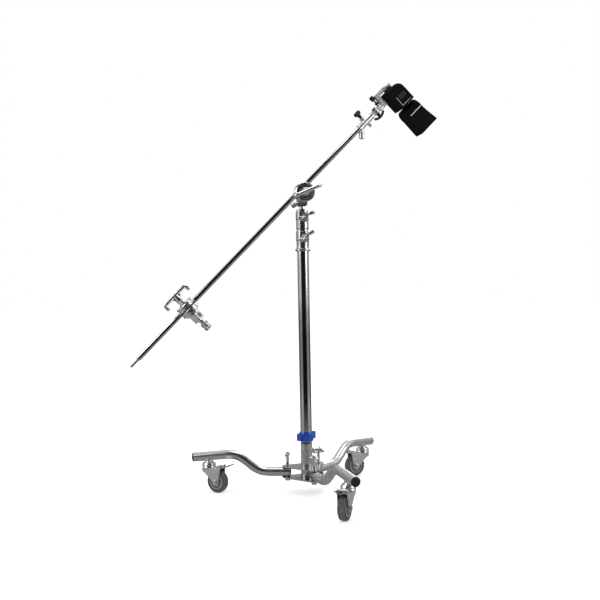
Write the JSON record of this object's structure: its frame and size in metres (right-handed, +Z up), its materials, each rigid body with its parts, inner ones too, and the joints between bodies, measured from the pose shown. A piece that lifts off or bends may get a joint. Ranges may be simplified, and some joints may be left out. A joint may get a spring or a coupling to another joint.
{
  "type": "rolling c stand",
  "caption": "Rolling grip stand on braked casters: low folding base, telescoping column, tilting boom rod with a second grip head, and a shoe-mounted flash on a swivel bracket.",
  "frame": {"origin": "floor point on the column's axis, where the three casters stand", "axes": "+Z up along the column; +X towards the side where the boom's flash end is, seen from the front; the boom's T-handle faces -Y"},
  "size_m": [1.0004, 0.7103, 1.3548],
  "materials": {
    "chrome": "polished",
    "cast_chrome": "satin plated casting",
    "zinc_steel": "zinc plated",
    "blue_ring": "gloss",
    "black_plastic": "fine moulded texture",
    "flash_shell": "fine moulded texture",
    "flash_lens": "ribbed clear",
    "tyre": "smooth",
    "wheel_core": "moulded"
  },
  "bodies": {
    "base": {"hub_top_plate": "cast_chrome", "hub_bottom_plate": "cast_chrome", "column_socket": "cast_chrome"},
    "socket_screw": {"socket_screw": "cast_chrome"},
    "leg_left": {"leg_tube_left": "chrome", "leg_end_cap_left": "black_plastic", "leg_caster_stem_left": "zinc_steel"},
    "leg_lock_left": {"leg_lock_left": "cast_chrome"},
    "swivel_left": {"caster_fork_left": "zinc_steel", "wheel_axle_left": "zinc_steel"},
    "wheel_left": {"wheel_tyre_left": "tyre", "wheel_hub_left": "wheel_core"},
    "pedal_left": {"brake_pedal_left": "zinc_steel"},
    "leg_rear": {"leg_tube_rear": "chrome", "leg_end_cap_rear": "black_plastic", "leg_caster_stem_rear": "zinc_steel"},
    "leg_lock_rear": {"leg_lock_rear": "cast_chrome"},
    "swivel_rear": {"caster_fork_rear": "zinc_steel", "wheel_axle_rear": "zinc_steel"},
    "wheel_rear": {"wheel_tyre_rear": "tyre", "wheel_hub_rear": "wheel_core"},
    "pedal_rear": {"brake_pedal_rear": "zinc_steel"},
    "leg_front": {"leg_tube_front": "chrome", "leg_end_cap_front": "black_plastic", "leg_caster_stem_front": "zinc_steel"},
    "leg_lock_front": {"leg_lock_front": "cast_chrome"},
    "swivel_front": {"caster_fork_front": "zinc_steel", "wheel_axle_front": "zinc_steel"},
    "wheel_front": {"wheel_tyre_front": "tyre", "wheel_hub_front": "wheel_core"},
    "pedal_front": {"brake_pedal_front": "zinc_steel"},
    "column": {"column_tube": "chrome", "lower_collar": "cast_chrome"},
    "release_ring": {"quick_release_ring": "blue_ring"},
    "lower_collar_screw": {"lower_collar_screw": "cast_chrome"},
    "middle_riser": {"middle_tube": "chrome", "upper_collar": "cast_chrome"},
    "upper_collar_screw": {"upper_collar_screw": "cast_chrome"},
    "top_riser": {"top_tube": "chrome"},
    "head_block": {"head_receiver": "cast_chrome"},
    "head_stud_screw": {"head_stud_screw": "cast_chrome"},
    "head_discs": {"head_inner_disc": "cast_chrome", "head_outer_disc": "cast_chrome"},
    "head_t_handle": {"head_t_handle": "cast_chrome"},
    "boom": {"boom_rod": "chrome"},
    "clamp_discs": {"clamp_inner_disc": "cast_chrome", "clamp_outer_disc": "cast_chrome"},
    "clamp_t_handle": {"clamp_t_handle": "cast_chrome"},
    "clamp_block": {"clamp_receiver": "cast_chrome"},
    "clamp_screw": {"clamp_screw": "cast_chrome"},
    "bracket_clamp": {"bracket_clamp": "cast_chrome"},
    "bracket_clamp_knob": {"bracket_clamp_knob": "black_plastic"},
    "bracket_swivel": {"bracket_swivel": "cast_chrome"},
    "bracket_tilt_knob": {"bracket_tilt_knob": "black_plastic"},
    "shoe": {"bracket_shoe": "cast_chrome"},
    "shoe_knob": {"bracket_shoe_knob": "black_plastic"},
    "flash_body": {"flash_body": "flash_shell"},
    "flash_neck": {"flash_neck": "flash_shell"},
    "flash_head": {"flash_head": "flash_shell", "flash_lens": "flash_lens"}
  },
  "joints": [
    {"name": "socket_screw_turn", "type": "hinge", "parent": "base", "child": "socket_screw", "pos_m": [0.01941, 0.00484, 0.14], "axis": [0.9703, 0.2419, 0], "range_deg": [-180, 180]},
    {"name": "leg_left_swing", "type": "hinge", "parent": "base", "child": "leg_left", "pos_m": [-0.06338, 0.00891, 0.069], "axis": [0, 0, 1], "range_deg": [-60, 60]},
    {"name": "leg_lock_left_turn", "type": "hinge", "parent": "base", "child": "leg_lock_left", "pos_m": [-0.06338, 0.00891, 0.10435], "axis": [0, 0, 1], "range_deg": [-180, 180]},
    {"name": "swivel_left_turn", "type": "hinge", "parent": "leg_left", "child": "swivel_left", "pos_m": [-0.32679, 0.04593, 0.0785], "axis": [0, 0, 1], "continuous": true},
    {"name": "wheel_left_roll", "type": "hinge", "parent": "swivel_left", "child": "wheel_left", "pos_m": [-0.29648, 0.02843, 0.0375], "axis": [0.5, 0.866, 0], "continuous": true},
    {"name": "pedal_left_press", "type": "hinge", "parent": "swivel_left", "child": "pedal_left", "pos_m": [-0.28349, 0.02093, 0.088], "axis": [0.5, 0.866, 0], "range_deg": [0, 12]},
    {"name": "leg_rear_swing", "type": "hinge", "parent": "base", "child": "leg_rear", "pos_m": [0.0394, 0.05043, 0.069], "axis": [0, 0, 1], "range_deg": [-60, 105]},
    {"name": "leg_lock_rear_turn", "type": "hinge", "parent": "base", "child": "leg_lock_rear", "pos_m": [0.0394, 0.05043, 0.10435], "axis": [0, 0, 1], "range_deg": [-180, 180]},
    {"name": "swivel_rear_turn", "type": "hinge", "parent": "leg_rear", "child": "swivel_rear", "pos_m": [0.20317, 0.26004, 0.0785], "axis": [0, 0, 1], "continuous": true},
    {"name": "wheel_rear_roll", "type": "hinge", "parent": "swivel_rear", "child": "wheel_rear", "pos_m": [0.17227, 0.24361, 0.0375], "axis": [0.4695, -0.8829, 0], "continuous": true},
    {"name": "pedal_rear_press", "type": "hinge", "parent": "swivel_rear", "child": "pedal_rear", "pos_m": [0.15902, 0.23657, 0.088], "axis": [0.4695, -0.8829, 0], "range_deg": [0, 12]},
    {"name": "leg_front_swing", "type": "hinge", "parent": "base", "child": "leg_front", "pos_m": [0.02294, -0.05975, 0.069], "axis": [0, 0, 1], "range_deg": [-105, 60]},
    {"name": "leg_lock_front_turn", "type": "hinge", "parent": "base", "child": "leg_lock_front", "pos_m": [0.02294, -0.05975, 0.10435], "axis": [0, 0, 1], "range_deg": [-180, 180]},
    {"name": "swivel_front_turn", "type": "hinge", "parent": "leg_front", "child": "swivel_front", "pos_m": [0.11826, -0.30808, 0.0785], "axis": [0, 0, 1], "continuous": true},
    {"name": "wheel_front_roll", "type": "hinge", "parent": "swivel_front", "child": "wheel_front", "pos_m": [0.10515, -0.34053, 0.0375], "axis": [0.9272, -0.3746, 0], "continuous": true},
    {"name": "pedal_front_press", "type": "hinge", "parent": "swivel_front", "child": "pedal_front", "pos_m": [0.09953, -0.35444, 0.088], "axis": [0.9272, -0.3746, 0], "range_deg": [0, 12]},
    {"name": "column_lift", "type": "slide", "parent": "base", "child": "column", "axis": [0, 0, 1], "range_m": [0, 0.12]},
    {"name": "release_ring_turn", "type": "hinge", "parent": "column", "child": "release_ring", "pos_m": [0, 0, 0.18685], "axis": [0, 0, 1], "range_deg": [-90, 90]},
    {"name": "lower_collar_screw_turn", "type": "hinge", "parent": "column", "child": "lower_collar_screw", "pos_m": [0.00855, -0.02349, 0.84318], "axis": [0.342, -0.9397, 0], "range_deg": [-180, 180]},
    {"name": "middle_riser_lift", "type": "slide", "parent": "column", "child": "middle_riser", "axis": [0, 0, 1], "range_m": [0, 0.55]},
    {"name": "upper_collar_screw_turn", "type": "hinge", "parent": "middle_riser", "child": "upper_collar_screw", "pos_m": [0.00855, -0.02349, 0.9096], "axis": [0.342, -0.9397, 0], "range_deg": [-180, 180]},
    {"name": "top_riser_lift", "type": "slide", "parent": "middle_riser", "child": "top_riser", "axis": [0, 0, 1], "range_m": [0, 0.55]},
    {"name": "head_turn", "type": "hinge", "parent": "top_riser", "child": "head_block", "pos_m": [0, 0, 0.985], "axis": [0, 0, 1], "continuous": true},
    {"name": "head_stud_screw_turn", "type": "hinge", "parent": "head_block", "child": "head_stud_screw", "pos_m": [-0.01801, -0.00516, 0.95093], "axis": [-0.8782, -0.2518, -0.4067], "range_deg": [-180, 180]},
    {"name": "head_tilt", "type": "hinge", "parent": "head_block", "child": "head_discs", "pos_m": [0.00758, -0.03042, 0.985], "axis": [0.2419, -0.9703, 0], "range_deg": [-70, 20]},
    {"name": "head_t_handle_turn", "type": "hinge", "parent": "head_discs", "child": "head_t_handle", "pos_m": [0.01436, -0.05759, 0.985], "axis": [0.2419, -0.9703, 0], "range_deg": [-180, 180]},
    {"name": "boom_slide", "type": "slide", "parent": "head_discs", "child": "boom", "axis": [0.6837, 0.1705, 0.7096], "range_m": [-0.15, 0.15]},
    {"name": "clamp_slide", "type": "slide", "parent": "boom", "child": "clamp_discs", "axis": [-0.6837, -0.1705, -0.7096], "range_m": [-0.2, 0.15]},
    {"name": "clamp_t_handle_turn", "type": "hinge", "parent": "clamp_discs", "child": "clamp_t_handle", "pos_m": [-0.38383, -0.14264, 0.63794], "axis": [-0.6885, -0.1717, 0.7046], "range_deg": [-180, 180]},
    {"name": "clamp_block_turn", "type": "hinge", "parent": "clamp_discs", "child": "clamp_block", "pos_m": [-0.34045, -0.13183, 0.59355], "axis": [-0.6885, -0.1717, 0.7046], "continuous": true},
    {"name": "clamp_screw_turn", "type": "hinge", "parent": "clamp_block", "child": "clamp_screw", "pos_m": [-0.30947, -0.1241, 0.56184], "axis": [0.6885, 0.1717, -0.7046], "range_deg": [-180, 180]},
    {"name": "bracket_turn", "type": "hinge", "parent": "boom", "child": "bracket_clamp", "pos_m": [0.20702, 0.01931, 1.21213], "axis": [0.6837, 0.1705, 0.7096], "range_deg": [-90, 90]},
    {"name": "bracket_clamp_knob_turn", "type": "hinge", "parent": "bracket_clamp", "child": "bracket_clamp_knob", "pos_m": [0.20077, 0.01775, 1.23403], "axis": [-0.6885, -0.1717, 0.7046], "range_deg": [-180, 180]},
    {"name": "bracket_tilt", "type": "hinge", "parent": "bracket_clamp", "child": "bracket_swivel", "pos_m": [0.25078, 0.03022, 1.25755], "axis": [-0.6885, -0.1717, 0.7046], "range_deg": [-60, 60]},
    {"name": "bracket_tilt_knob_turn", "type": "hinge", "parent": "bracket_swivel", "child": "bracket_tilt_knob", "pos_m": [0.26455, 0.03365, 1.24345], "axis": [0.6885, 0.1717, -0.7046], "range_deg": [-180, 180]},
    {"name": "shoe_turn", "type": "hinge", "parent": "bracket_swivel", "child": "shoe", "pos_m": [0.27404, 0.03602, 1.27602], "axis": [0.6837, 0.1705, 0.7096], "range_deg": [-90, 90]},
    {"name": "shoe_knob_turn", "type": "hinge", "parent": "bracket_swivel", "child": "shoe_knob", "pos_m": [0.25137, 0.03036, 1.28654], "axis": [-0.6885, -0.1717, 0.7046], "range_deg": [-180, 180]},
    {"name": "flash_slide", "type": "slide", "parent": "shoe", "child": "flash_body", "axis": [0.2419, -0.9703, 0], "range_m": [0, 0.05]},
    {"name": "flash_swivel", "type": "hinge", "parent": "flash_body", "child": "flash_neck", "pos_m": [0.35156, 0.05534, 1.28124], "axis": [-0.6885, -0.1717, 0.7046], "range_deg": [-90, 180]},
    {"name": "flash_tilt", "type": "hinge", "parent": "flash_neck", "child": "flash_head", "pos_m": [0.37221, 0.06049, 1.26011], "axis": [0.6837, 0.1705, 0.7096], "range_deg": [-7, 90]}
  ]
}
